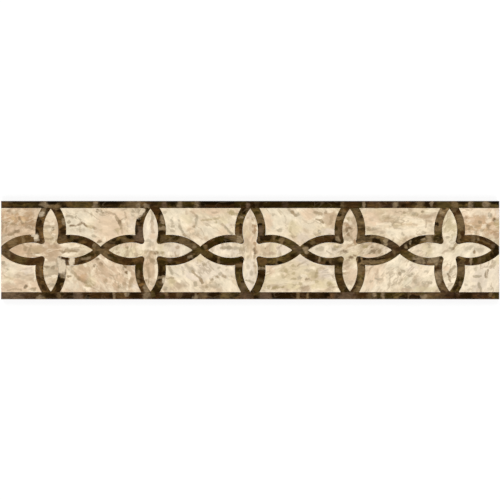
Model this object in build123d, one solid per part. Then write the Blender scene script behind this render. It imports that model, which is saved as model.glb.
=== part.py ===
from build123d import *
import os

# Border tile of inlaid marble. Cream and dark stones are cut to shape through their whole thickness and
# bonded edge to edge, and the face is ground flush. A chain of four-petalled crosses with dark outlines
# runs along the tile between two dark strips.
# The tile lies on its back: X along the border, Y across it, Z up out of the face, and the origin in the
# middle of the back.

# Driving dimensions, in millimetres
MOTIF_COUNT = 5  # crosses along the tile
MOTIF_PITCH = 119.6  # from one cross to the next
FACE_WIDTH = 118.0  # across the tile, over both strips
THICKNESS = 10.0
STRIP_WIDTH = 8.5  # dark strip along each long edge
BAND_WIDTH = 9.4  # dark outline round a cross
PETAL_WIDTH = 18.2  # petal at its widest
PETAL_ROOT = 2.6  # how far a petal's inner point lies past the cross's centre
INNER_ROUND = 3.6  # rounding of the outline's four corners at a cross's centre
TIP_TO_STRIP = 0.8  # from a petal's tip to the strip that it points at
TIP_TO_CROSSING = 9.4  # from a petal's tip to the line where two outlines cross
GLUE_LINE = 0.2  # joint between neighbouring stones
ARRIS = 0.8  # chamfer round the edge of the face

# Derived dimensions
LENGTH = MOTIF_COUNT * MOTIF_PITCH
FIELD_HALF = FACE_WIDTH / 2 - STRIP_WIDTH
REACH_ACROSS = FIELD_HALF - TIP_TO_STRIP
REACH_ALONG = MOTIF_PITCH / 2 - TIP_TO_CROSSING
HALF_JOINT = GLUE_LINE / 2


def rectangle(left, right, bottom, top):
    """Flat rectangle between two X and two Y places."""
    centre = Pos((left + right) / 2, (bottom + top) / 2)
    return centre * Rectangle(right - left, top - bottom)


def petal(reach, growth):
    """Pointed petal along +Y whose tip is at reach, with its two round sides moved out by growth."""
    half_width = PETAL_WIDTH / 2
    half_length = (reach + PETAL_ROOT) / 2
    side_radius = (half_length**2 + half_width**2) / PETAL_WIDTH
    side_disc = Circle(side_radius + growth)
    side_x = side_radius - half_width
    belly_y = reach - half_length
    return Pos(-side_x, belly_y) * side_disc & Pos(side_x, belly_y) * side_disc


def cross(growth):
    """Four petals on one centre, with every side moved out by growth and the corners between them rounded."""
    across = petal(REACH_ACROSS, growth)
    along = petal(REACH_ALONG, growth)
    petals = across + Rot(Z=180) * across + Rot(Z=90) * along + Rot(Z=-90) * along
    if growth >= INNER_ROUND:
        return petals
    inner_corners = [corner for corner in petals.vertices() if corner.center().length < PETAL_WIDTH]
    return fillet(inner_corners, INNER_ROUND - growth)


def crosses(growth):
    """The whole row of crosses, joined where they overlap."""
    return Sketch() + [Pos(x, 0) * cross(growth) for x in motif_axes]


def bay(number):
    """Field between two neighbouring motif axes, or between the last axis and the tile's end."""
    left = motif_axes[number - 1] + HALF_JOINT if number > 0 else -LENGTH / 2
    right = motif_axes[number] - HALF_JOINT if number < MOTIF_COUNT else LENGTH / 2
    field_edge = FIELD_HALF - HALF_JOINT
    return rectangle(left, right, -field_edge, field_edge)


def stone(outline):
    """One stone: its outline cut through the whole thickness, within the chamfered tile."""
    return (extrude(outline, THICKNESS) & blank).solid()


motif_axes = [(number - (MOTIF_COUNT - 1) / 2) * MOTIF_PITCH for number in range(MOTIF_COUNT)]

# Blank of the whole tile, whose chamfer the stones at its edge share
blank = extrude(Rectangle(LENGTH, FACE_WIDTH), THICKNESS)
blank = chamfer(blank.faces().sort_by(Axis.Z)[-1].edges(), ARRIS)

stones = {}

# Dark strips along the long edges
strip_inside = FIELD_HALF + HALF_JOINT
upper_strip = rectangle(-LENGTH / 2, LENGTH / 2, strip_inside, FACE_WIDTH / 2)
stones["upper_strip"] = stone(upper_strip)
stones["lower_strip"] = stone(mirror(upper_strip, Plane.XZ))

# Cream crosses
for number, axis in enumerate(motif_axes, 1):
    stones[f"cross_{number}"] = stone(Pos(axis, 0) * cross(-HALF_JOINT))

# Dark links, each from one motif axis to the next, and the cream panels above and below each link
outlines = crosses(BAND_WIDTH - HALF_JOINT) - crosses(HALF_JOINT)
outlined = crosses(BAND_WIDTH + HALF_JOINT)
for number in range(MOTIF_COUNT + 1):
    lower, upper = (bay(number) - outlined).faces().sort_by(Axis.Y)
    if 0 < number < MOTIF_COUNT:
        link_name = f"link_{number}"
        upper_name = f"upper_panel_{number}"
        lower_name = f"lower_panel_{number}"
    else:
        side = "left" if number == 0 else "right"
        link_name = f"end_link_{side}"
        upper_name = f"corner_upper_{side}"
        lower_name = f"corner_lower_{side}"
    stones[link_name] = stone(bay(number) & outlines)
    stones[upper_name] = stone(upper)
    stones[lower_name] = stone(lower)

os.makedirs("parts", exist_ok=True)
for name, solid in stones.items():
    solid.label = name
    export_step(solid, f"parts/{name}.step")
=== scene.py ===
import math
from collections import namedtuple

import bmesh
import bpy
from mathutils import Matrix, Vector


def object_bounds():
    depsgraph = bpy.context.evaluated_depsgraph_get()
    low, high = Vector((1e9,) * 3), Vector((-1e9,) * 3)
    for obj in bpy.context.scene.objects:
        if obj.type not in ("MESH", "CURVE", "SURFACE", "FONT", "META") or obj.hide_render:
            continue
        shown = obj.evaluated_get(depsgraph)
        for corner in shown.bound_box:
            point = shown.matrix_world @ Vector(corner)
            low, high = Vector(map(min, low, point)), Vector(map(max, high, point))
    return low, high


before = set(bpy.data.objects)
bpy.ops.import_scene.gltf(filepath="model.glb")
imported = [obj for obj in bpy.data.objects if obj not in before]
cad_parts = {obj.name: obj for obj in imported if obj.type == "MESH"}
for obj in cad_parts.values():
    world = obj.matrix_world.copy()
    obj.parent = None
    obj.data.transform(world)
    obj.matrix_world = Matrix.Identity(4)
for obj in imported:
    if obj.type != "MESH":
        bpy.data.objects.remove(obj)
cad_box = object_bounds()

# Dark strips.
# Two straight strips of dark brown marble, one along each long edge. They are sawn from a slab, glued to the
# inlay edge to edge and polished with it, so the stone's own pale seams and black clouds cross them.
MM = 0.001


def shade(red, green, blue):
    """A colour as a screen shows it, from 0 to 255, in the linear values that shaders take."""
    linear = []
    for value in (red, green, blue):
        share = value / 255
        linear.append(share / 12.92 if share <= 0.04045 else ((share + 0.055) / 1.055) ** 2.4)
    return (*linear, 1.0)


def node(tree, kind, inputs, **options):
    """A shader node with its options set, and each input set to a value or linked to a socket."""
    made = tree.nodes.new("ShaderNode" + kind)
    for option, value in options.items():
        setattr(made, option, value)
    for name, value in inputs.items():
        if isinstance(value, bpy.types.NodeSocket):
            tree.links.new(value, made.inputs[name])
        else:
            made.inputs[name].default_value = value
    return made


def emptied(owner):
    """The node tree of a material or of the world, with nothing in it."""
    owner.use_nodes = True
    owner.node_tree.nodes.clear()
    return owner.node_tree


def maths(tree, operation, *values):
    """One sum of values."""
    return node(tree, "Math", dict(enumerate(values)), operation=operation).outputs[0]


def vectors(tree, operation, *values):
    """One sum of vectors."""
    return node(tree, "VectorMath", dict(enumerate(values)), operation=operation).outputs[0]


def rise(tree, value, low, high, top=1.0):
    """0 where value is at low, top where it is at high, and a smooth step between them."""
    inputs = {"Value": value, "From Min": low, "From Max": high, "To Max": top}
    return node(tree, "MapRange", inputs, interpolation_type="SMOOTHSTEP").outputs["Result"]


# Sockets of a mix of two colours
MIX_SHARE, MIX_UNDER, MIX_OVER, MIX_COLOUR = 0, 6, 7, 2


def tinted(tree, share, under, over):
    """The colour under, covered by a share of the colour over."""
    inputs = {MIX_SHARE: share, MIX_UNDER: under, MIX_OVER: over}
    return node(tree, "Mix", inputs, data_type="RGBA").outputs[MIX_COLOUR]


# Middle value of a noise, which runs from 0 to 1
MIDDLE = 0.5


def noise(tree, place, size, seed, detail=2.0, roughness=0.5):
    """Noise texture whose patches are about size across."""
    inputs = {"Vector": place, "W": seed, "Scale": 1 / size, "Detail": detail, "Roughness": roughness}
    return node(tree, "TexNoise", inputs, noise_dimensions="4D").outputs


def patches(tree, place, size, seed, detail=2.0, roughness=0.5):
    """Cloudy value from -0.5 to 0.5, about 0 on the whole."""
    return maths(tree, "SUBTRACT", noise(tree, place, size, seed, detail, roughness)["Fac"], MIDDLE)


# A fold of the stone: its width, the span that its pushes cover, and its seed. Every pattern in a stone has
# its own seed, which is added to cut, the stone's place in the slab.
Fold = namedtuple("Fold", "width span seed")


def warped(tree, place, fold, cut):
    """The place pushed about at random, as if the stone were folded."""
    push = noise(tree, place, fold.width, cut + fold.seed)["Color"]
    push = vectors(tree, "SUBTRACT", push, (MIDDLE, MIDDLE, MIDDLE))
    return vectors(tree, "MULTIPLY_ADD", push, (fold.span, fold.span, fold.span), place)


# A layer of one tint that drifts through a stone in soft patches. Its share rises to strength as the patches
# rise from low to high.
Layer = namedtuple("Layer", "tint size seed low high strength detail", defaults=(2.0,))


def lay_layers(tree, colour, layers, place, cut):
    """The colour with drifting layers of other tints over it."""
    for layer in layers:
        drift = patches(tree, place, layer.size, cut + layer.seed, layer.detail)
        colour = tinted(tree, rise(tree, drift, layer.low, layer.high, layer.strength), colour, layer.tint)
    return colour


# Lighter and darker patches: the lightest is contrast times as light as the darkest
Tone = namedtuple("Tone", "size seed contrast detail roughness", defaults=(2.0, 0.5))


def lightened(tree, colour, value, contrast):
    """The colour, made contrast times lighter where value is 0.5 than where it is -0.5."""
    factor = maths(tree, "POWER", contrast, value)
    return node(tree, "VectorMath", {0: colour, "Scale": factor}, operation="SCALE").outputs[0]


def toned(tree, colour, tone, place, cut):
    """The colour in lighter and darker patches."""
    value = patches(tree, place, tone.size, cut + tone.seed, tone.detail, tone.roughness)
    return lightened(tree, colour, value, tone.contrast)


# Fine wandering seams, about size apart. They come and go in patches about reach wide: there are none where
# the patches are at low, and they have their strength where the patches are at SEAMS_FULL.
Seams = namedtuple("Seams", "tint size seed width detail reach reach_seed low strength")
SEAMS_FULL = 0.10


def seam_share(tree, seams, lines_place, place, cut):
    """How much of a seam there is at each place."""
    level = patches(tree, lines_place, seams.size, cut + seams.seed, seams.detail)
    line = rise(tree, maths(tree, "ABSOLUTE", level), seams.width, 0.0)
    shown = patches(tree, place, seams.reach, cut + seams.reach_seed)
    return maths(tree, "MULTIPLY", line, rise(tree, shown, seams.low, SEAMS_FULL, seams.strength))


# A patch of another tone in a stone: its place and size in millimetres on the face, its turn in degrees, its
# strength in percent, how soft and how ragged its edge is, and how far it is drawn out into a line
Mark = namedtuple("Mark", "tint x y width height turn strength edge ragged drawn")
PERCENT = 0.01


def cloud(tint, x, y, width, height, strength=70, turn=0):
    """A wide soft patch."""
    return Mark(tint, x, y, width, height, turn, strength, edge=0.7, ragged=3.0, drawn=0)


def spot(tint, x, y, width, height, strength=80, turn=0):
    """A small patch."""
    return Mark(tint, x, y, width, height, turn, strength, edge=0.6, ragged=3.0, drawn=0)


def dot(tint, x, y, width, strength=100):
    """A small round patch."""
    return Mark(tint, x, y, width, width, 0, strength, edge=0.6, ragged=1.0, drawn=0)


def vein(tint, x, y, end_x, end_y, width, strength=70):
    """A seam from one point to another."""
    turn = math.degrees(math.atan2(end_y - y, end_x - x))
    drawn = math.hypot(end_x - x, end_y - y) / width
    middle = ((x + end_x) / 2, (y + end_y) / 2)
    return Mark(tint, *middle, width, width, turn, strength, edge=0.75, ragged=3.5, drawn=drawn)


# Folds that bend the marks, and finer ones for the marks narrower than NARROW millimetres
BROAD_FOLDS = (Fold(14 * MM, 12 * MM, 0.1), Fold(4 * MM, 3 * MM, 0.2))
FINE_FOLDS = (Fold(8 * MM, 5 * MM, 0.3), Fold(3 * MM, 2 * MM, 0.4))
NARROW = 7.0
# Patches that fray the edges of the marks
RAG_SIZE = 4 * MM
RAG_SEED = 0.5
# Depth of a mark in metres, so great that it goes right through the stone
THROUGH = 1.0


def folded(tree, place, folds, cut):
    """The place pushed about by one fold after the other."""
    for fold in folds:
        place = warped(tree, place, fold, cut)
    return place


def lay_marks(tree, colour, marks, place, cut):
    """The colour with the stone's marks laid over it, one after the other."""
    broad = folded(tree, place, BROAD_FOLDS, cut)
    fine = folded(tree, place, FINE_FOLDS, cut)
    rag = patches(tree, place, RAG_SIZE, cut + RAG_SEED, detail=3.0, roughness=0.6)
    for mark in marks:
        inputs = {
            "Vector": fine if min(mark.width, mark.height) < NARROW else broad,
            "Location": (mark.x * MM, mark.y * MM, 0),
            "Rotation": (0, 0, math.radians(mark.turn)),
            "Scale": (mark.width / 2 * MM, mark.height / 2 * MM, THROUGH),
        }
        local = node(tree, "Mapping", inputs, vector_type="TEXTURE").outputs[0]
        if mark.drawn:
            spine = vectors(tree, "MAXIMUM", local, (-mark.drawn, 0, 0))
            spine = vectors(tree, "MINIMUM", spine, (mark.drawn, 0, 0))
            local = vectors(tree, "SUBTRACT", local, spine)
        distance = node(tree, "VectorMath", {0: local}, operation="LENGTH").outputs["Value"]
        edge = maths(tree, "MULTIPLY_ADD", rag, mark.ragged, distance)
        share = rise(tree, edge, 1 + mark.edge, 1 - mark.edge / 2, mark.strength * PERCENT)
        colour = tinted(tree, share, colour, mark.tint)
    return colour


# The polish reaches from the face over the arris. Below it the sides and the back show the strokes of the
# saw, which are drawn out along Y and Z.
FACE_HEIGHT = cad_box[1].z
POLISH_DEPTH = 0.9 * MM
SAWN_DEPTH = 1.26 * MM
SAWN_ROUGHNESS = 0.62
STROKE_WIDTH = 2.2 * MM
STROKE_SQUEEZE = (1.0, 0.06, 0.06)
STROKE_SEED = 0.6
STROKE_CONTRAST = 2.0
STROKE_DEPTH = 0.25 * MM
DUST = shade(200, 186, 162)
DUST_SHARE = 0.18
SHINE_PATCH = 6 * MM
SHINE_SEED = 0.7
SHINE_SPREAD = 0.06
SEAM_DULLNESS = 0.12
SEAM_DEPTH = 0.03 * MM
REFRACTION = 1.5


def dress(name, slot, cut, polish, paint, *look):
    """Gives a stone its own marble, polished on the face and arris and sawn on the sides and back."""
    material = bpy.data.materials.new(name + "_marble")
    tree = emptied(material)
    place = node(tree, "TexCoord", {}).outputs["Object"]
    colour, seam = paint(tree, place, cut, *look)

    height = node(tree, "SeparateXYZ", {0: place}).outputs["Z"]
    sawn = rise(tree, height, FACE_HEIGHT - POLISH_DEPTH, FACE_HEIGHT - SAWN_DEPTH)
    squeezed = node(tree, "Mapping", {"Vector": place, "Scale": STROKE_SQUEEZE}).outputs[0]
    stroke = patches(tree, squeezed, STROKE_WIDTH, cut + STROKE_SEED, detail=3.0, roughness=0.7)
    dusty = tinted(tree, DUST_SHARE, lightened(tree, colour, stroke, STROKE_CONTRAST), DUST)
    colour = tinted(tree, sawn, colour, dusty)

    speckle = noise(tree, place, SHINE_PATCH, cut + SHINE_SEED, detail=4.0)["Fac"]
    inputs = {"Value": speckle, "To Min": polish - SHINE_SPREAD, "To Max": polish + SHINE_SPREAD}
    shine = node(tree, "MapRange", inputs).outputs["Result"]
    rough = maths(tree, "MULTIPLY_ADD", seam, SEAM_DULLNESS, shine)
    inputs = {"Factor": sawn, "A": rough, "B": SAWN_ROUGHNESS}
    rough = node(tree, "Mix", inputs, data_type="FLOAT").outputs["Result"]

    scored = maths(tree, "MULTIPLY", maths(tree, "ADD", stroke, MIDDLE), sawn)
    scores = maths(tree, "MULTIPLY", scored, STROKE_DEPTH)
    relief = maths(tree, "MULTIPLY_ADD", seam, -SEAM_DEPTH, scores)
    bump = node(tree, "Bump", {"Height": relief, "Strength": 1.0, "Distance": 1.0}).outputs[0]
    inputs = {"Base Color": colour, "Roughness": rough, "Normal": bump, "IOR": REFRACTION}
    shader = node(tree, "BsdfPrincipled", inputs)
    node(tree, "OutputMaterial", {"Surface": shader.outputs[0]})

    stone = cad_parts[name]
    stone.data.materials.clear()
    stone.data.materials.append(material)


# How far patches are drawn out along the grain, across it and through the stone
GRAIN_STRETCH = (1.7, 0.8, 1.0)


def streaked(tree, place, grain):
    """The place in a frame along the stone's grain, where patches are drawn out lengthwise."""
    inputs = {"Vector": place, "Rotation": (0, 0, math.radians(grain)), "Scale": GRAIN_STRETCH}
    return node(tree, "Mapping", inputs, vector_type="TEXTURE").outputs[0]


BLACK = shade(18, 9, 0)
SOOT = shade(35, 21, 4)
RUST = shade(61, 39, 16)
MOOR = shade(50, 38, 8)
UMBER = shade(77, 57, 27)
OLIVE = shade(81, 66, 33)
CHESTNUT = shade(95, 70, 38)
DRAB = shade(103, 83, 55)
PLUM = shade(73, 53, 36)
TAUPE = shade(100, 80, 61)
TAN = shade(118, 96, 65)
HAZEL = shade(132, 113, 87)
BUFF = shade(142, 122, 93)
CALCITE = shade(220, 202, 174)
DARK_POLISH = 0.17
DARK_GRAIN = 0
DARK_FOLD = Fold(20 * MM, 16 * MM, 0)
DARK_CRINKLE = Fold(5 * MM, 6 * MM, 4)
DARK_LAYERS = (
    Layer(OLIVE, 34 * MM, 1, -0.04, 0.10, 0.8),
    Layer(RUST, 30 * MM, 2, -0.02, 0.12, 0.8),
    Layer(PLUM, 26 * MM, 3, 0.02, 0.16, 0.7),
)
DARK_DEPTHS = Tone(9 * MM, 5, 40.0, detail=3.0, roughness=0.6)
DARK_PATCHES = Tone(4 * MM, 6, 8.0)
DARK_MOTTLE = Tone(3 * MM, 7, 13.0, detail=3.0, roughness=0.7)
DARK_SEAMS = Seams(
    BUFF, 14 * MM, 9, width=0.03, detail=2.0, reach=20 * MM, reach_seed=8, low=-0.04, strength=0.2
)
# Pale stone is less mottled: between these two levels of red, the mottling fades by this share
PALE_FROM, PALE_TO, PALE_SHARE = 0.3, 0.6, 0.85


def dark_paint(tree, place, cut, ground, marks):
    """Dark brown marble with clouds of black, rust, olive and plum, cut up by fine pale seams."""
    drift = warped(tree, streaked(tree, place, DARK_GRAIN), DARK_FOLD, cut)
    crinkled = warped(tree, drift, DARK_CRINKLE, cut)
    colour = lay_layers(tree, ground, DARK_LAYERS, drift, cut)
    colour = toned(tree, colour, DARK_DEPTHS, drift, cut)
    colour = toned(tree, colour, DARK_PATCHES, crinkled, cut)
    colour = lay_marks(tree, colour, marks, place, cut)
    mottled = toned(tree, colour, DARK_MOTTLE, crinkled, cut)
    red = node(tree, "SeparateColor", {0: colour}).outputs["Red"]
    colour = tinted(tree, rise(tree, red, PALE_FROM, PALE_TO, PALE_SHARE), mottled, colour)
    seam = seam_share(tree, DARK_SEAMS, drift, place, cut)
    return tinted(tree, seam, colour, DARK_SEAMS.tint), seam


def dark_stone(name, cut, ground, marks):
    """Makes one dark stone, cut from its own place in the slab."""
    dress(name, "dark_marble", cut, DARK_POLISH, dark_paint, ground, marks)


dark_stone("upper_strip", 100, SOOT, [
    cloud(CHESTNUT, -296, 55, 9, 14, 60), vein(SOOT, -288, 57.5, -258, 57.5, 4, 75),
    spot(OLIVE, -264, 53, 6, 4, 60), spot(SOOT, -254, 57, 3, 4), cloud(HAZEL, -246, 54, 9, 8, 75),
    spot(HAZEL, -244, 55, 4, 7), cloud(TAN, -237, 52, 12, 5), vein(BLACK, -241, 57.5, -232, 57.5, 4, 95),
    cloud(TAN, -231, 52, 7, 6, 60), cloud(CHESTNUT, -216, 56, 10, 6), cloud(OLIVE, -201, 55, 24, 14),
    spot(HAZEL, -185, 54.5, 6, 9), vein(SOOT, -178, 54, -161, 54, 9, 85),
    vein(BLACK, -180, 57.5, -161, 57.5, 4, 90), vein(SOOT, -159, 57.5, -150, 57.5, 3, 60),
    cloud(DRAB, -139, 54, 16, 12, 85), spot(HAZEL, -134, 54.5, 5, 6), spot(CHESTNUT, -129, 56, 5, 5),
    spot(HAZEL, -124, 53, 6, 6, 90), spot(RUST, -121, 57.5, 7, 4), cloud(SOOT, -114, 56.5, 11, 7, 80),
    spot(TAUPE, -103, 55, 6, 10, 60), cloud(BLACK, -93, 57, 12, 8, 85), spot(HAZEL, -84, 55, 5, 14, 65),
    cloud(MOOR, -74, 54.5, 12, 14, 90), spot(HAZEL, -63.5, 55, 5, 14, 60),
    vein(SOOT, -54, 55, -18, 55, 14, 80), vein(RUST, -52, 53, -22, 53, 4, 60),
    vein(BLACK, -57, 57.5, -20, 57.5, 5, 92), vein(MOOR, -16, 56, -6, 56, 6), spot(TAUPE, -3, 54, 5, 6),
    spot(SOOT, 4, 57.5, 5, 4), cloud(DRAB, 8, 55, 6, 10), spot(SOOT, 14, 54, 7, 6),
    spot(OLIVE, 20, 56, 8, 5), vein(MOOR, 24, 55, 36, 55, 8), spot(TAUPE, 42, 56, 8, 8),
    vein(SOOT, 10, 55, 104, 55, 14), vein(MOOR, 48, 53, 100, 53, 5), vein(SOOT, 48, 57.5, 103, 57.5, 5, 90),
    spot(DRAB, 112, 54.5, 6, 7), cloud(RUST, 122, 55, 15, 14, 90), spot(MOOR, 132, 53, 4, 5),
    spot(HAZEL, 136.5, 55, 5, 7, 90), cloud(CHESTNUT, 147, 53, 14, 6, 60),
    vein(RUST, 156, 57.5, 169, 57.5, 4, 80), spot(HAZEL, 173, 55, 7, 9), spot(SOOT, 184, 54, 5, 4),
    cloud(TAN, 204, 55, 8, 12), spot(SOOT, 212, 54, 8, 5), spot(HAZEL, 217.5, 56, 3.5, 6),
    cloud(OLIVE, 232, 55, 14, 14, 80), spot(TAN, 245, 54, 7, 10, 70),
    vein(SOOT, 251, 57.5, 260, 57.5, 4, 85), spot(HAZEL, 265, 55, 5.5, 18, 98),
    cloud(MOOR, 273, 55, 10, 14, 85), spot(HAZEL, 284, 55.5, 8, 7, 75), spot(BLACK, 293, 57.5, 11, 5, 95),
    spot(OLIVE, 294, 53, 10, 4, 70),
])
dark_stone("lower_strip", 110, RUST, [
    cloud(TAUPE, -286, -55, 30, 14, 90), cloud(PLUM, -266, -53, 22, 8, 60),
    vein(RUST, -269, -57, -259, -57, 4), spot(HAZEL, -252, -56.5, 8, 7, 90),
    cloud(SOOT, -240, -56, 13, 9, 85), spot(DRAB, -229.5, -55, 5, 14), spot(MOOR, -226, -52, 4, 4),
    cloud(SOOT, -216, -55, 10, 10, 80), cloud(TAUPE, -207, -55, 9, 16, 90),
    vein(RUST, -194, -55, -168, -55, 9, 85), spot(BLACK, -195, -56, 5, 5), spot(SOOT, -167, -54, 5, 6),
    spot(HAZEL, -163, -55, 3.5, 18), cloud(CHESTNUT, -154, -54, 12, 8, 60), spot(HAZEL, -147, -53, 4.5, 5),
    cloud(SOOT, -138, -54, 12, 10, 85), cloud(HAZEL, -123, -54, 9, 11, 75), spot(OLIVE, -117, -53, 4, 6),
    spot(MOOR, -105, -56, 5, 5), spot(TAN, -100, -53, 5, 4, 70), cloud(RUST, -92, -54, 9, 14, 95),
    spot(DRAB, -84, -53, 8, 6, 70), cloud(SOOT, -74, -56.5, 14, 8, 90), spot(HAZEL, -66, -56, 4, 6),
    spot(DRAB, -56, -54, 8, 12), cloud(SOOT, -42, -54.5, 12, 11, 90), cloud(DRAB, -30, -54, 7, 12, 50),
    cloud(TAUPE, -6, -54, 14, 10, 50), spot(SOOT, 7, -57, 7, 4, 90), spot(OLIVE, 9.5, -52, 4, 4),
    spot(RUST, 16, -53, 8, 5), cloud(TAUPE, 20, -54, 12, 8, 80), vein(SOOT, 31, -55, 50, -55, 11, 95),
    spot(BLACK, 27.5, -56, 3, 4), spot(DRAB, 57.5, -55, 4, 16, 90), spot(RUST, 65, -56, 5, 7),
    spot(TAN, 69.5, -55, 3, 16, 85), vein(SOOT, 77, -55, 91, -55, 8, 80), spot(BLACK, 92, -54, 6, 4),
    spot(SOOT, 106, -55, 4.5, 9), cloud(TAUPE, 117, -55, 18, 16, 75),
    vein(RUST, 123, -57, 126, -52, 2.5, 60), cloud(RUST, 136, -54, 9, 12, 90),
    cloud(DRAB, 147, -55, 10, 12, 60), spot(HAZEL, 149, -54, 5, 4, 85), spot(MOOR, 154.5, -54, 4, 9),
    spot(HAZEL, 159, -55, 4, 18, 90), spot(MOOR, 166, -54, 8, 13, 90),
    vein(SOOT, 180, -57, 188, -57, 4.5, 80), spot(DRAB, 191, -54, 3, 9, 70),
    vein(SOOT, 193, -57, 203, -57, 4, 85), spot(HAZEL, 209, -56, 7, 9, 95), spot(OLIVE, 207.5, -52, 4, 3),
    cloud(DRAB, 223, -54, 22, 12, 40), spot(SOOT, 246, -56, 5, 6), vein(SOOT, 254, -55, 263, -55, 8, 92),
    spot(RUST, 284, -55, 6, 9), spot(TAN, 288, -52.5, 4.5, 5), spot(MOOR, 296, -55, 6, 11),
])

# Dark links.
# Dark marble cut into the outlines of the petals. Each link spans two crosses in one piece, from petal tip
# to petal tip, and is glued into the field. Where it turns to pale calcite, the outline seems broken.
dark_stone("end_link_left", 200, CHESTNUT, [
    vein(CHESTNUT, -282, 11, -262, 14, 9, 90), vein(TAN, -274, 17, -272, 8, 3.5, 80),
    cloud(TAN, -286, 9, 10, 9, 75), spot(DRAB, -297, 0, 5, 14), spot(UMBER, -291.5, 3, 5, 10),
    spot(TAN, -290, -5, 4, 7, 60), spot(RUST, -284.5, -8, 5, 9, 70), cloud(OLIVE, -275, -12, 12, 12),
    vein(RUST, -266, -13.5, -251, -13, 9, 90), vein(RUST, -255, -20, -253, -38, 3),
    vein(DRAB, -252, -20, -251.5, -32, 2, 60), spot(SOOT, -246.5, -45, 5, 6),
    spot(SOOT, -253, 37, 4.5, 9, 85), spot(RUST, -251, 31, 3, 3), spot(SOOT, -255.5, 21, 4, 7),
    spot(RUST, -251.5, 11.5, 4, 6, 85), spot(CALCITE, -260.5, 18.5, 5, 4),
    spot(CALCITE, -256.5, 15, 5.2, 7.5, 100), cloud(BUFF, -249, 48, 7, 8, 60),
    spot(CALCITE, -250, 43, 4, 7, 50, -40), spot(SOOT, -243, 48.5, 4.5, 8),
])
dark_stone("link_1", 210, CHESTNUT, [
    spot(TAN, -232, 51, 7, 4, 70), spot(SOOT, -229, 46.5, 4, 3.5, 90), cloud(CHESTNUT, -230.5, 41, 8, 6, 60),
    spot(BUFF, -222.5, 34, 6, 8, 90), cloud(SOOT, -224.5, 24, 7, 10, 85), spot(DRAB, -225, 14, 8, 8, 60),
    spot(BLACK, -217, 16, 6, 4, 90), spot(OLIVE, -213, 13, 7, 7, 70), spot(BLACK, -209.5, 11.5, 7, 5, 85),
    spot(MOOR, -202, 14, 7, 4), cloud(RUST, -193, 8, 11, 10, 95), spot(BUFF, -187, 5, 4, 4.5),
    spot(SOOT, -183, 4, 5, 4), cloud(DRAB, -180, 0, 13, 12, 85), spot(MOOR, -184, -4, 5, 5, 70),
    vein(MOOR, -203, -8, -191, -5, 4, 85), vein(BUFF, -201, -10.5, -193, -9, 2.5, 80),
    spot(SOOT, -202.5, -13.5, 7, 5, 90), cloud(CALCITE, -227, -19, 16, 20, 100),
    vein(CALCITE, -214.5, -8, -214, -20, 5, 100), vein(RUST, -226, -9.5, -219.5, -10, 3.5, 95),
    vein(RUST, -219.5, -11, -219.5, -17, 3, 90), spot(SOOT, -229, -32, 4, 7, 90),
    spot(BUFF, -225.5, -30.5, 4, 5, 85), spot(SOOT, -225.5, -36, 5, 6, 90),
    vein(SOOT, -229, -36, -231, -48, 6, 90), spot(CALCITE, -223.5, -46, 4, 8, 90),
    spot(SOOT, -177, 4.5, 6, 4), spot(TAN, -173, 6, 5, 4, 60), spot(SOOT, -163, 13, 6, 4, 85, 30),
    spot(SOOT, -157, 10, 9, 4, 85, 20), cloud(DRAB, -151, 13, 7, 7),
    vein(BLACK, -148, 15.7, -142, 15.7, 3.5, 95), cloud(TAUPE, -133, 13, 12, 10, 80),
    vein(RUST, -138, 10, -130, 9, 2, 80), cloud(TAUPE, -131.5, 22, 5.5, 14, 90),
    vein(SOOT, -136.5, 30, -136, 21, 3, 90), spot(BLACK, -134, 36, 7, 5, 90), spot(SOOT, -131, 30, 4, 5),
    spot(CALCITE, -134, 45, 15, 11, 100, 35), vein(UMBER, -130, 38, -123, 48, 3, 90),
    spot(SOOT, -123.5, 49, 3.5, 5), cloud(TAN, -173, -5, 8, 7, 75), spot(MOOR, -169.5, -6.5, 4, 4),
    vein(MOOR, -166, -7, -160, -13, 4, 80), cloud(RUST, -149, -13, 11, 9, 90), spot(SOOT, -142, -16.5, 6, 3),
    cloud(CHESTNUT, -134, -11, 11, 8, 85), spot(MOOR, -134, -21, 9, 9, 95),
    spot(DRAB, -134.5, -29, 4, 9, 90), vein(RUST, -131, -28, -130.5, -36, 3, 90),
    spot(TAN, -134, -37, 4, 5, 60), spot(RUST, -129, -46, 8, 8), cloud(BUFF, -124, -47, 6, 12, 80),
])
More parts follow.
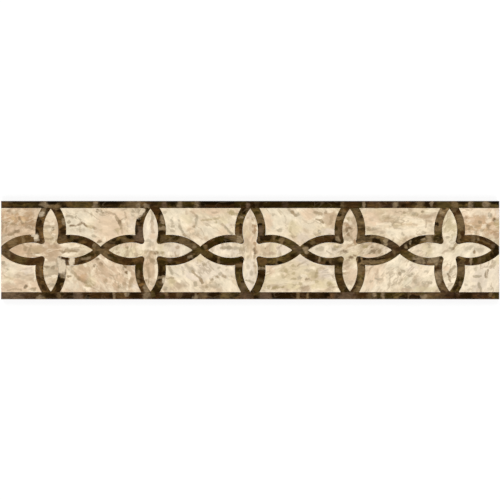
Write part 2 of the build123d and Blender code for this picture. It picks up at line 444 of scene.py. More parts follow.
dark_stone("link_2", 220, UMBER, [
    cloud(RUST, -112, 47, 8, 8, 80), spot(BLACK, -108.5, 43, 5, 4.5, 85), spot(BUFF, -106, 36, 6, 11, 95),
    vein(RUST, -110, 40, -109.5, 34, 2, 80), spot(OLIVE, -106, 29.7, 12, 2.5, 90),
    spot(BUFF, -106, 26, 9, 4, 95), spot(SOOT, -106, 21, 9, 4.5, 90),
    vein(SOOT, -109, 18, -109, 10, 2.5, 85), spot(DRAB, -104, 14, 6, 7, 60),
    vein(DRAB, -96, 11, -82, 10.5, 3), vein(MOOR, -94, 15.5, -81, 14.5, 4, 92),
    vein(DRAB, -80, 10, -68, 6, 7, 85), spot(BUFF, -67, 4, 5, 4, 60), cloud(OLIVE, -61, 0, 10, 10),
    spot(MOOR, -67, -3, 6, 6), spot(BUFF, -72.5, -8.3, 6, 4, 95, 20), spot(MOOR, -67, -8, 4, 4),
    vein(RUST, -88, -11, -80, -12.5, 5, 80), vein(SOOT, -97, -16, -90, -16, 3, 85),
    spot(TAUPE, -97, -12, 6, 4, 70), cloud(MOOR, -106, -12, 9, 8),
    vein(SOOT, -107.5, -20, -107.5, -29, 3.5, 95), spot(SOOT, -103, -28, 3, 6),
    vein(BUFF, -111, -33, -103, -32, 2.6, 90), spot(CALCITE, -103.5, -36.5, 4, 5, 85),
    spot(SOOT, -108.5, -35.5, 3.5, 3), spot(DRAB, -107.5, -40.5, 4, 4), cloud(SOOT, -112.5, -45, 9, 9, 85),
    spot(MOOR, -57, 2, 5, 5), spot(TAN, -53, 4, 4, 5, 70), spot(MOOR, -47, 7, 8, 5, 80, 35),
    vein(MOOR, -40, 12, -31, 12, 6, 85), vein(BLACK, -30, 11.5, -26, 11.5, 3.5, 95),
    vein(TAUPE, -30, 16.5, -22, 17, 3), spot(DRAB, -20, 14, 8, 9, 90), cloud(BUFF, -12.5, 12.5, 7, 9, 95),
    spot(DRAB, -14, 20, 8, 4, 70), vein(RUST, -11.5, 31, -11.5, 21, 2.5, 90), spot(SOOT, -11.5, 31, 3, 3),
    spot(TAN, -13.5, 40, 5, 4, 60), spot(BUFF, -10.5, 40, 3.5, 3), spot(SOOT, -8, 47, 5, 6, 85),
    spot(BLACK, -6, 44.5, 3, 3), cloud(OLIVE, -48, -6, 12, 8), spot(SOOT, -42.5, -11, 5, 6, 85),
    spot(DRAB, -38, -12, 3.2, 14, 95), vein(MOOR, -33, -12, -12, -12, 6.5, 90), spot(BLACK, -11, -12, 4, 5),
    spot(DRAB, -14, -18.5, 9, 4, 90), spot(MOOR, -14, -24, 9, 5), spot(RUST, -11, -31, 3, 6),
    spot(SOOT, -9.5, -38, 4, 4, 90), cloud(TAUPE, -9, -45, 8, 9, 60),
])
dark_stone("link_3", 230, UMBER, [
    spot(MOOR, 8.5, 44.5, 7, 4), cloud(DRAB, 12.5, 38, 9, 9, 85), spot(TAN, 9, 33, 4, 6, 50),
    spot(BLACK, 11.5, 30, 5, 4.5, 95), cloud(TAUPE, 13, 22, 7, 10, 85), spot(MOOR, 17, 22, 2.5, 8),
    vein(SOOT, 12, 13.5, 22, 15, 5, 80), spot(DRAB, 9.5, 13, 3, 6), spot(DRAB, 28, 14, 3.5, 7, 90),
    spot(MOOR, 33, 14.3, 6, 4, 95), spot(TAN, 38, 11, 6, 7, 90), spot(RUST, 42, 9, 3, 3),
    spot(SOOT, 55, 5, 5, 4), cloud(TAUPE, 55, 1, 9, 8, 50), cloud(CHESTNUT, 14, -13, 11, 9, 85),
    vein(SOOT, 21, -17, 28, -17, 2.5, 85), spot(DRAB, 32, -13, 2.8, 12, 85),
    spot(BLACK, 36, -14.5, 5, 3.5, 90), cloud(OLIVE, 43, -11, 10, 7, 60), spot(SOOT, 51, -7, 5, 3),
    vein(BUFF, 8, -21.5, 18.5, -22.5, 2.8, 98), cloud(SOOT, 13.5, -29, 10, 9, 85), spot(MOOR, 13, -38, 7, 6),
    spot(OLIVE, 9, -45, 7, 6, 70), spot(BUFF, 67, 0.5, 5, 9, 98), vein(SOOT, 66, 7, 72, 5, 4, 85),
    vein(DRAB, 74, 9, 82, 11, 3.5), vein(RUST, 82, 12.5, 100, 13, 7, 90), spot(BLACK, 102, 11, 6, 4),
    spot(BUFF, 105, 14, 5, 6, 85, 40), spot(RUST, 108.7, 17.5, 3, 7, 90), cloud(DRAB, 105, 22, 6, 8, 85),
    spot(MOOR, 103.5, 26.5, 4, 4, 95), cloud(CHESTNUT, 107, 32, 6, 7), spot(TAN, 106.5, 38, 11, 4.5, 95, 10),
    spot(SOOT, 107.5, 42, 4, 4, 85), spot(DRAB, 111.5, 45, 4, 7), spot(RUST, 116.5, 49, 5, 6),
    cloud(SOOT, 74, -8.5, 12, 7, 80, -25), spot(BUFF, 83, -12, 3, 5, 75), spot(MOOR, 86.5, -11.5, 4, 5),
    spot(OLIVE, 89.5, -11.5, 3, 5), spot(BLACK, 93, -15.5, 6, 3.5, 95), spot(DRAB, 97, -14, 3, 5, 90),
    cloud(SOOT, 104, -15, 9, 8, 60), spot(DRAB, 108.5, -10.5, 4, 5, 70), spot(SOOT, 108.5, -17.5, 3.5, 7),
    spot(MOOR, 103, -22, 4, 5), spot(DRAB, 106, -25, 7, 5, 90), cloud(RUST, 110.5, -42, 7, 13, 75),
    spot(SOOT, 115.5, -48, 4, 7),
])
dark_stone("link_4", 240, DRAB, [
    spot(DRAB, 126.5, 45.5, 5, 6), spot(SOOT, 132.3, 40, 4.5, 4.5, 90), cloud(TAN, 133, 33, 9, 10, 60),
    spot(RUST, 132, 29, 9, 2.5, 60), spot(CHESTNUT, 131, 21, 6, 5), spot(TAN, 129.5, 17, 4, 6),
    vein(TAN, 129, 9, 136, 8.5, 3, 90), spot(SOOT, 141.5, 17, 6, 3), spot(DRAB, 147, 14, 5, 7),
    vein(SOOT, 148, 11.5, 154, 11, 4.5, 95), spot(BUFF, 162.5, 9.5, 4.5, 10, 98, -20),
    spot(RUST, 174.5, 2, 6, 5, 60), spot(DRAB, 172, -4, 4, 6, 90), vein(RUST, 170, -6, 163, -9, 4, 80),
    vein(TAN, 137, -14.3, 158, -14, 3, 85), vein(SOOT, 137, -11, 160, -9.5, 2.5, 92),
    spot(SOOT, 130.5, -12.5, 4.5, 8, 90), spot(SOOT, 135, -18.5, 5, 3), cloud(TAN, 132.5, -24, 8, 10, 80),
    spot(CHESTNUT, 135.7, -28, 3, 5), spot(TAN, 133.5, -38, 4, 7, 60),
    vein(RUST, 127.5, -37, 123, -48, 3.5, 90), spot(TAN, 130, -47, 5, 7), spot(SOOT, 182, 4, 4, 4, 70),
    spot(BUFF, 186, 4, 3.2, 4.5, 85), spot(SOOT, 189.5, 6.5, 3, 6), spot(BUFF, 192, 9, 2.8, 4.5, 85, -20),
    vein(SOOT, 196, 13, 208, 16, 4.5, 92), vein(SOOT, 195, 8.5, 202, 10, 3.5, 85),
    spot(BUFF, 207.5, 12.7, 4.5, 2.5), spot(MOOR, 226, 14, 13, 11, 95), spot(BLACK, 228.3, 16, 3, 7),
    spot(BUFF, 215, 14, 6.5, 14, 98), spot(OLIVE, 225, 21, 9, 4), spot(DRAB, 225, 26.5, 3.5, 7, 90),
    spot(SOOT, 223.3, 31.5, 4.5, 3.5, 95), spot(TAN, 226.5, 36.5, 10, 5, 95),
    spot(CHESTNUT, 226.5, 41, 4, 4), cloud(BUFF, 229.5, 46, 7, 7, 85), spot(MOOR, 232, 50, 5, 4),
    spot(MOOR, 182.5, -3, 7, 4, 60), cloud(OLIVE, 188, -6, 6, 7), cloud(HAZEL, 203, -12, 16, 9, 85),
    spot(BUFF, 197.5, -10, 4, 3), spot(SOOT, 196, -12.7, 4.5, 2.6, 90), spot(BUFF, 208, -13, 4, 7, 90),
    spot(OLIVE, 210.5, -10, 4, 3), spot(CHESTNUT, 214.5, -15, 4, 4, 70), cloud(BUFF, 221, -12, 14, 10, 97),
    spot(MOOR, 229, -9.5, 4, 3), spot(CHESTNUT, 218.5, -16.5, 5, 3, 70), spot(RUST, 226, -22, 10, 5.5, 90),
    cloud(HAZEL, 226, -32, 10, 15, 90), spot(RUST, 231.5, -40, 3.5, 5), cloud(TAN, 232, -46, 8, 8),
])
dark_stone("end_link_right", 250, UMBER, [
    spot(DRAB, 245, 48.5, 6, 6), spot(RUST, 250.5, 44, 5, 7, 90), cloud(CHESTNUT, 248, 39, 6, 6, 60),
    cloud(TAN, 253.5, 32, 10, 20, 90), spot(RUST, 254, 19, 5, 9, 95), spot(TAN, 250, 15, 3.5, 9, 70),
    spot(CHESTNUT, 261.5, 14, 7, 7, 85), spot(DRAB, 268, 14, 5, 14, 95), spot(BUFF, 274.5, 12.5, 3.5, 3, 70),
    vein(RUST, 277, 14.5, 290, 9, 3, 92), vein(RUST, 275, 9.5, 287, 5, 3, 92),
    vein(DRAB, 279, 11, 287, 8, 2, 60), spot(TAUPE, 291.5, 5, 5, 4, 70), spot(BLACK, 295, -2, 6, 11, 90),
    spot(SOOT, 291, -7, 6, 5, 90), spot(MOOR, 285.5, -9, 6, 6), spot(OLIVE, 280, -11, 5, 6),
    spot(DRAB, 275.5, -12, 3, 7, 70), spot(MOOR, 270, -12, 5, 9, 90), spot(BUFF, 265, -13, 2.6, 12, 85),
    spot(RUST, 260, -13, 6, 9), spot(SOOT, 248.5, -11.5, 4.5, 6), cloud(DRAB, 253, -26, 10, 14, 85),
    spot(MOOR, 254.5, -35, 4, 5), spot(SOOT, 249.7, -36, 2.8, 6), spot(DRAB, 252, -41, 5, 5, 95),
    vein(SOOT, 248, -41, 244.5, -47, 3.5, 90), spot(MOOR, 250.5, -46, 4, 4),
])

# Cream crosses.
# Five four-petalled crosses of cream marble, each cut in one piece and set inside the dark outlines. The
# stone is veined with brown and grey, and each cross comes from another place in the slab.
IVORY = shade(250, 233, 204)
CREAM = shade(224, 204, 173)
MILK = shade(234, 220, 193)
PEARL = shade(234, 218, 196)
LILAC = shade(230, 213, 192)
ROSE = shade(230, 203, 172)
MOSS = shade(222, 205, 166)
FAWN = shade(208, 181, 150)
HONEY = shade(202, 173, 140)
GOLD = shade(228, 197, 148)
AMBER = shade(198, 163, 124)
MAUVE = shade(189, 165, 136)
RUSSET = shade(174, 142, 108)
SEDGE = shade(176, 157, 117)
ASH = shade(178, 162, 135)
BROWN = shade(162, 139, 107)
BARK = shade(137, 114, 84)
CREAM_POLISH = 0.2
CREAM_FOLD = Fold(16 * MM, 12 * MM, 0)
CREAM_CRINKLE = Fold(6 * MM, 8 * MM, 5)
CREAM_LAYERS = (
    Layer(ROSE, 24 * MM, 1, -0.04, 0.10, 0.5),
    Layer(MOSS, 22 * MM, 10, -0.02, 0.12, 0.5),
    Layer(MILK, 20 * MM, 2, -0.02, 0.12, 0.5),
    Layer(IVORY, 11 * MM, 3, 0.0, 0.14, 0.8, detail=3.0),
    Layer(MAUVE, 13 * MM, 4, 0.0, 0.18, 0.7, detail=3.0),
)
CREAM_WEB = Seams(
    IVORY, 15 * MM, 6, width=0.05, detail=3.0, reach=16 * MM, reach_seed=11, low=-0.08, strength=0.5
)
CREAM_SEAMS = Seams(
    BROWN, 18 * MM, 7, width=0.035, detail=3.0, reach=18 * MM, reach_seed=12, low=-0.06, strength=0.5
)
CREAM_PATCHES = Tone(6 * MM, 8, 1.8)
CREAM_MOTTLE = Tone(2.4 * MM, 9, 1.25)


def cream_paint(tree, place, cut, ground, grain, marks):
    """Cream marble with pink, yellowish and pale clouds, and a crinkled web of pale and brown seams."""
    drift = warped(tree, streaked(tree, place, grain), CREAM_FOLD, cut)
    crinkled = warped(tree, drift, CREAM_CRINKLE, cut)
    colour = lay_layers(tree, ground, CREAM_LAYERS, drift, cut)
    colour = lay_marks(tree, colour, marks, place, cut)
    web = seam_share(tree, CREAM_WEB, crinkled, place, cut)
    colour = tinted(tree, web, colour, CREAM_WEB.tint)
    seam = seam_share(tree, CREAM_SEAMS, crinkled, place, cut)
    colour = tinted(tree, seam, colour, CREAM_SEAMS.tint)
    colour = toned(tree, colour, CREAM_PATCHES, crinkled, cut)
    return toned(tree, colour, CREAM_MOTTLE, place, cut), seam


def cream_stone(name, cut, ground, grain, marks):
    """Makes one cream stone, cut from its own place in the slab, with its grain turned to suit."""
    dress(name, "cream_marble", cut, CREAM_POLISH, cream_paint, ground, grain, marks)


cream_stone("cross_1", 300, FAWN, 0, [
    cloud(HONEY, -266, 0, 44, 18, 90), spot(BROWN, -270, 2, 4, 6, 70),
    vein(BROWN, -263, 5, -266, -5, 2.5, 50), cloud(SEDGE, -257, 0, 12, 8, 40),
    vein(BROWN, -262, -4, -254, -3.5, 2.5), vein(IVORY, -257, -6, -251, -5.5, 2, 80),
    cloud(IVORY, -239, 40, 12, 14, 50), cloud(ASH, -240, 27, 14, 7, 50), spot(IVORY, -238, 31, 5, 3),
    dot(BARK, -237, 26, 3.2), vein(BROWN, -246, 13.5, -233, 13, 3, 65), spot(IVORY, -236, 17.5, 4, 4, 70),
    cloud(BROWN, -236, 4, 10, 7, 60), vein(BARK, -234, 3, -226, -1, 3, 60),
    vein(BROWN, -226, -1.5, -206, 0, 3.2, 85), spot(BARK, -224, -2, 4, 3),
    vein(IVORY, -224, 5, -206, 5, 3, 60), cloud(HONEY, -238, -3, 20, 12, 80),
    vein(MAUVE, -243, -10, -230, -12, 4, 80), spot(BARK, -244, -20, 5, 3.5), spot(BARK, -236, -21, 4, 5, 85),
    spot(ASH, -231, -18, 3, 6), cloud(ASH, -238, -27, 16, 12, 60), spot(IVORY, -235, -31, 6, 4),
    spot(ASH, -238, -42, 6, 3.5), spot(IVORY, -240, -46.5, 4, 4),
])
cream_stone("cross_2", 311, CREAM, 80, [
    cloud(PEARL, -120, 30, 18, 36), vein(ASH, -118, 46, -117, 36, 2.5, 75),
    vein(MAUVE, -117, 35, -117, 21, 3), vein(IVORY, -121.5, 38, -121.5, 24, 2.5),
    spot(ROSE, -118, 16.5, 6, 5), spot(ASH, -123, 12, 6, 4, 60), spot(ASH, -119, 7, 7, 5, 60),
    vein(IVORY, -126, 1, -110, 1, 3.5), vein(BROWN, -126, -2, -118, -1.5, 3, 65),
    vein(BROWN, -118, -1.5, -111, -4, 3, 80), spot(BARK, -112.5, -4, 5, 3, 70),
    cloud(MOSS, -146, -2, 32, 12), vein(MAUVE, -137, 1, -136.5, -6, 3, 60),
    vein(MAUVE, -147, -1, -147, -6, 3, 50), spot(BROWN, -148, 3.8, 3.5, 3), vein(ROSE, -156, 5, -142, 7, 3),
    spot(BROWN, -161, 2, 6, 3, 60), spot(MAUVE, -158, -3, 4, 2.5), cloud(MOSS, -105, 0, 10, 10, 60),
    spot(SEDGE, -105, -3.5, 5, 3, 90), spot(ASH, -99, 5, 8, 3, 60), cloud(PEARL, -90, 0, 24, 12),
    spot(IVORY, -96, -4, 6, 4), spot(MAUVE, -87, 3, 5, 3), vein(MAUVE, -90, -2, -88, -6, 1.8),
    cloud(MILK, -76, 0, 10, 8, 80), cloud(HONEY, -121, -22, 12, 30, 80), spot(BROWN, -118, -13, 5, 5),
    spot(BROWN, -122, -9, 4, 4, 50), vein(BROWN, -123.5, -21, -121, -32, 2.5, 55),
    vein(IVORY, -113, -18, -112.5, -33, 3, 60), vein(BROWN, -124, -37, -118, -41, 2.8, 75),
    spot(ROSE, -120, -45, 6, 6),
])
cream_stone("cross_3", 322, CREAM, 85, [
    cloud(PEARL, -33, -2, 36, 12, 90), spot(IVORY, -33, -3.5, 20, 5, 60), vein(ASH, -33, 3, -26, 4, 4, 90),
    vein(ASH, -22, 2.5, -8, 1, 3.5, 65), cloud(HONEY, 0, 26, 14, 40, 35), spot(RUSSET, 4.5, 29, 5, 4, 90),
    spot(RUSSET, 5, 22.5, 4.5, 7, 95), spot(IVORY, 4, 33, 5, 2.5, 70), spot(MAUVE, -3, 37, 4, 6, 60),
    spot(BROWN, 4, 38, 3, 3, 70), cloud(LILAC, 0, 45, 7, 8, 60), cloud(ROSE, 2, 11, 8, 8),
    vein(RUSSET, 5, 8, 5, 3, 2.8, 85), vein(BARK, 4.5, 0.5, 6, -4, 3, 92),
    vein(BROWN, 5.5, -8, 5, -15, 3, 75), spot(BROWN, 5, -19, 4, 3), cloud(PEARL, -1, -28, 15, 30, 80),
    vein(IVORY, -6, -14, -6, -30, 3), spot(ASH, 1.5, -27, 4, 5, 60), spot(ASH, -3, -20, 3, 6, 50),
    vein(ASH, -5, -36.5, -1, -37.5, 2.6, 95), vein(ASH, -1, -37.5, 3, -39.5, 2.4, 80),
    spot(LILAC, -1, -44, 7, 7), cloud(HONEY, 14, 0, 12, 10, 40), vein(MAUVE, 17.5, 1.5, 23, 5, 2.5),
    spot(BROWN, 17.5, 2, 3, 2.5), spot(MAUVE, 27, -4, 7, 3.5), spot(MAUVE, 18, -5, 6, 3, 60),
    cloud(LILAC, 41, 0, 14, 10, 80),
])
cream_stone("cross_4", 333, CREAM, 30, [
    cloud(MAUVE, 119, 22, 18, 26), spot(IVORY, 114, 35, 4, 3.5, 90), spot(IVORY, 120, 33, 5, 3, 60),
    spot(SEDGE, 118.5, 37.5, 5, 4, 70), spot(RUSSET, 114, 30, 6, 4, 70), spot(BARK, 120, 26.5, 5, 3.5, 95),
    vein(BARK, 115, 25, 117.5, 18.5, 3.6, 85), vein(BROWN, 118, 18, 122, 14, 2.5, 50),
    vein(ROSE, 124.5, 27, 125, 13, 3, 60), spot(ASH, 115, 13.5, 6, 4, 60),
    vein(IVORY, 112, 9, 121, 9.5, 2.5), spot(RUSSET, 126, 9, 4, 6, 90), cloud(HONEY, 117, 3, 14, 6, 50),
    vein(IVORY, 119, 1.5, 130, 3, 3.5, 60), spot(BARK, 111, -1, 7, 3, 85), spot(BARK, 114.5, -3, 5, 3.5, 95),
    cloud(BROWN, 106, 1, 7, 7, 50), spot(BARK, 121, -9, 6, 3.5, 95), spot(BROWN, 125.5, -6, 4, 2.5, 90),
    spot(BROWN, 117, -12, 5, 3.5, 70), cloud(MAUVE, 115, -18, 9, 12, 80),
    vein(BROWN, 111.5, -28, 119, -28, 2.6, 75), spot(IVORY, 113, -25, 4, 3, 70),
    cloud(ROSE, 122, -30, 10, 18), spot(MAUVE, 120, -39, 9, 5, 60), cloud(PEARL, 88, 0, 32, 12, 60),
    spot(ASH, 100.5, 2, 5, 4, 90), spot(ASH, 84, 1, 8, 5, 60), spot(IVORY, 92, 3, 4, 7, 70),
    vein(ASH, 93, -1, 98, -5, 2, 60), spot(SEDGE, 104.5, 4.5, 6, 3), cloud(MAUVE, 147, 0, 28, 14, 80),
    spot(SEDGE, 138, 4.5, 6, 3, 90), spot(BARK, 146, 5, 4.5, 3, 85), spot(BARK, 147, -2, 9, 4, 85, 30),
    spot(BROWN, 155, -1, 3, 6, 85), vein(IVORY, 136, -1, 141, 4, 2), vein(ROSE, 136, -7, 150, -7.5, 3, 90),
    cloud(LILAC, 163, 1, 10, 6),
])
cream_stone("cross_5", 344, MILK, 40, [
    cloud(MOSS, 240, 30, 18, 24, 80), cloud(SEDGE, 240, 30, 8, 14, 35), spot(IVORY, 244, 34, 5, 5, 70),
    spot(MAUVE, 238.5, 43, 5, 7, 50), spot(IVORY, 235, 18, 6, 5), spot(ASH, 236.5, 16, 4, 2.5),
    dot(BARK, 243.5, 2, 3.2), vein(ASH, 239, 2.5, 243, 2, 2, 80), vein(BROWN, 244.5, 3, 247, 7, 2.6, 80),
    vein(MAUVE, 231, -3, 237, -1, 2.5), cloud(MOSS, 213, 1, 12, 10, 60), spot(ASH, 215, 4.5, 3.5, 3, 70),
    spot(ASH, 203, -1, 5, 2.5, 50), vein(ASH, 211, -3, 211, -6, 2, 60), cloud(IVORY, 226, -1, 9, 9),
    dot(BROWN, 269, -2, 3.4), cloud(ASH, 261, 2.5, 14, 5, 55), spot(ASH, 275, 1, 11, 5, 55),
    vein(IVORY, 262, -3, 268, 2, 2, 60), cloud(IVORY, 240, -12, 13, 16, 80), spot(ROSE, 235, -22, 6, 5),
    vein(BROWN, 246, -20, 239, -26, 3.2), vein(BARK, 236.5, -28, 239.5, -38, 2.6, 75),
    cloud(IVORY, 244, -31, 6, 10, 60),
])

# Cream panels.
# The field between the crosses: cream marble panels above and below each crossing. They are cut to the
# outlines' curves and to the strips' straight edges, and glued in flush with them.
cream_stone("upper_panel_1", 400, CREAM, -25, [
    cloud(MILK, -205, 30, 44, 40, 90), vein(ASH, -220, 41, -210, 39, 2.8, 85),
    vein(BARK, -216, 29, -209, 30, 2.2, 95), vein(BARK, -209, 30, -202, 33, 2.4, 75),
    vein(BARK, -202, 33, -196, 29, 2.6, 95), vein(BROWN, -196, 29, -186, 26.5, 2.8, 85),
    spot(ASH, -218, 34, 4, 4, 95), cloud(MOSS, -192, 33, 8, 12, 50), cloud(IVORY, -194, 37, 12, 8, 60),
    spot(ASH, -190, 43, 4, 5, 60), spot(IVORY, -223, 46, 3, 7), cloud(ASH, -207, 24, 12, 6, 40),
    cloud(ROSE, -165, 30, 36, 40, 75), vein(BARK, -183, 48, -177, 45, 3, 85),
    vein(MAUVE, -172, 46, -164, 43, 2.4, 80), vein(BROWN, -161, 40, -157, 34, 3.2, 75),
    spot(BARK, -156.5, 33.5, 3.6, 5, 75), vein(BROWN, -156, 32, -155, 27, 2.6, 60),
    vein(BROWN, -155, 27, -153.5, 21, 2.2, 40), vein(BROWN, -153, 37, -149, 39, 2.4, 60),
    vein(MAUVE, -150, 46, -149, 40, 2.2, 80), cloud(SEDGE, -160, 24, 6, 6, 60),
    spot(IVORY, -152, 35, 3, 4, 70), vein(MAUVE, -147, 34, -147, 23, 2, 60),
    cloud(LILAC, -142, 30, 10, 14, 60), cloud(ASH, -134, 47, 9, 5), spot(ASH, -141, 45, 3, 6, 70),
    spot(BARK, -181, 10, 4.5, 4, 85), spot(IVORY, -175, 13, 4, 6, 70), spot(ASH, -188, 17, 6, 3, 70),
])
cream_stone("upper_panel_2", 411, CREAM, -40, [
    cloud(MILK, -94, 34, 28, 30, 85), spot(ASH, -94, 35, 3, 7, 60), spot(IVORY, -89, 38, 4, 6),
    spot(ASH, -93, 28.5, 4, 3.5), spot(ASH, -93, 23, 5, 3, 70), spot(ASH, -102, 46, 5, 3, 60),
    vein(ASH, -85.5, 36, -85, 30, 2.4, 75), vein(ASH, -85, 29, -81, 22, 2.6, 80),
    spot(BROWN, -78.5, 18.5, 4, 4, 70), cloud(IVORY, -77, 35, 16, 12, 60), cloud(MOSS, -74, 37, 16, 8, 50),
    spot(IVORY, -66, 36.5, 6, 4.5), cloud(ROSE, -66, 47, 12, 5, 80), vein(MAUVE, -71, 47, -65, 41, 2.6, 80),
    vein(ASH, -64, 41, -65.5, 32, 3, 75), spot(BROWN, -67, 28.5, 5, 3.5), spot(MAUVE, -73, 25, 6, 3, 60),
    cloud(ASH, -66, 19, 8, 5, 60), cloud(ROSE, -45, 46, 18, 8, 90), spot(MAUVE, -43, 45, 6, 3, 70),
    vein(SEDGE, -58, 35, -47, 37, 2.2, 65), vein(SEDGE, -46, 37, -38, 38.5, 2.4, 65),
    spot(SEDGE, -41.5, 33.5, 4.5, 3, 90), cloud(MILK, -50, 26, 24, 14, 85), spot(SEDGE, -24, 46, 6, 5, 90),
    vein(SEDGE, -22, 44, -15, 43, 2.6, 80), cloud(MOSS, -32, 36, 10, 8, 50),
    vein(MAUVE, -34, 31, -30, 28, 2.6), vein(ASH, -29, 26.5, -22.5, 20, 2.4, 95),
    cloud(LILAC, -23, 29, 7, 6), spot(MAUVE, -23, 28, 4, 3, 50),
])
cream_stone("upper_panel_3", 422, CREAM, -38, [
    cloud(MILK, 34, 38, 40, 30, 85), cloud(ROSE, 22, 36, 8, 16, 80), vein(ASH, 46, 48.5, 50, 46, 4, 85),
    vein(BROWN, 50, 46, 55, 42, 3.2, 85), spot(ASH, 57, 43, 5, 4, 70), spot(IVORY, 55, 48, 5, 3),
    spot(ASH, 27, 42, 3.5, 3, 70), spot(IVORY, 55, 36, 6, 5, 85), spot(ASH, 50, 32.5, 3.5, 4, 70),
    cloud(MOSS, 53, 25, 12, 16), spot(SEDGE, 48, 24, 2.5, 8, 40), spot(ASH, 35, 24, 6, 4, 70),
    vein(IVORY, 30, 25, 37, 28.5, 2), vein(IVORY, 22, 20, 38, 20, 2, 50), spot(BROWN, 53, 16, 6, 3, 60),
    cloud(ROSE, 69, 44, 14, 9), cloud(IVORY, 75, 30, 18, 14, 50), cloud(MILK, 72, 30, 12, 10, 50),
    vein(BROWN, 77, 45, 86, 43.5, 2.8), dot(BARK, 91, 45, 3, 80), cloud(HONEY, 96, 37, 14, 16, 65),
    vein(BROWN, 98, 41, 96, 32, 3, 50), vein(BROWN, 80, 37, 85, 36.5, 2.4, 80),
    vein(BROWN, 85, 36, 88, 33, 2.4, 85), spot(IVORY, 83, 40, 7, 3), spot(IVORY, 88.5, 29.5, 5, 4, 70),
    spot(ASH, 83.5, 22, 4, 4.5, 90), cloud(LILAC, 95, 22, 16, 7, 90), spot(IVORY, 96, 47, 6, 4, 70),
    cloud(LILAC, 64, 14, 16, 10, 60),
])
cream_stone("upper_panel_4", 433, CREAM, 5, [
    cloud(HONEY, 150, 40, 26, 18, 40), cloud(ROSE, 146, 36, 14, 16, 90),
    vein(SEDGE, 156, 37, 168, 38.5, 3, 35), vein(BROWN, 167, 38.5, 176, 39, 2.8, 35),
    vein(ASH, 179, 39, 168, 28, 2.2, 50), vein(IVORY, 152, 32, 168, 31, 2.6, 60),
    spot(BROWN, 142, 25.5, 4, 5, 60), spot(ASH, 149, 25, 7, 4, 65), spot(ASH, 158, 21, 5, 3, 70),
    cloud(IVORY, 172, 20, 20, 12, 60), cloud(MILK, 170, 21, 14, 8, 60),
    vein(SEDGE, 183, 42.5, 200, 42.5, 3, 55), vein(BROWN, 203, 41, 218, 40.5, 3, 40),
    spot(BROWN, 184.5, 45, 3, 2.6, 50), spot(ASH, 196, 43.5, 5, 3, 60),
    vein(IVORY, 180, 34, 198, 34.5, 3, 60), vein(HONEY, 182, 30.5, 200, 30.5, 2, 50),
    dot(BARK, 207, 46.5, 3, 70), cloud(RUSSET, 214, 38, 12, 8, 45), spot(ROSE, 221, 36, 4, 8),
    vein(MAUVE, 211, 36, 211, 28, 2.2), cloud(IVORY, 195, 23, 32, 11, 80), spot(ASH, 208.5, 21, 5, 4, 60),
    spot(ASH, 183.5, 19, 4, 3, 60), spot(ASH, 185, 13, 3, 3, 60),
])
cream_stone("lower_panel_1", 444, FAWN, -40, [
    cloud(MILK, -216, -42, 20, 14), vein(BROWN, -218.5, -31.3, -214, -31.3, 2.2, 85),
    spot(BROWN, -213.5, -19, 4, 3), spot(ASH, -217, -22, 4, 4, 60),
    vein(BROWN, -214, -25, -205, -34, 3.4, 65), vein(BROWN, -205, -34, -196, -38.5, 3.6, 80),
    cloud(SEDGE, -192.5, -40, 9, 8, 75), cloud(AMBER, -199, -32, 9, 7, 75),
    cloud(MOSS, -190, -33, 7, 12, 60), dot(BARK, -187, -19, 3.4), cloud(HONEY, -198, -22, 18, 9),
    spot(IVORY, -189, -27, 4, 9, 70), spot(IVORY, -198, -18, 4, 4, 70),
    vein(BROWN, -184, -20, -184, -29, 2, 60), spot(IVORY, -195, -46.5, 8, 3, 70),
    spot(BARK, -182.5, -11, 5, 3, 85), spot(BARK, -179, -17, 5, 4, 85), spot(IVORY, -173, -14, 5, 7),
    spot(ASH, -170, -20.5, 9, 3, 70), cloud(ROSE, -165, -30, 34, 20), cloud(HONEY, -174, -26, 22, 14, 60),
    cloud(HONEY, -160, -37, 24, 13, 65), vein(ROSE, -170, -33, -158, -32, 2.4, 80),
    spot(BROWN, -173, -38, 5, 4.5, 60), spot(BROWN, -155.5, -44, 4.5, 5, 75),
    cloud(MAUVE, -150, -23, 12, 11, 60), spot(BARK, -150.5, -21, 4.5, 4, 85), dot(BARK, -147.5, -26.5, 3.4),
    vein(MAUVE, -150, -29, -150, -40, 2.6, 60), vein(IVORY, -145, -27, -146, -34, 3),
    vein(BROWN, -142.5, -35, -142, -43, 3.4, 60), vein(IVORY, -147, -38, -147, -47, 2.6),
    cloud(LILAC, -137, -45, 8, 8),
])
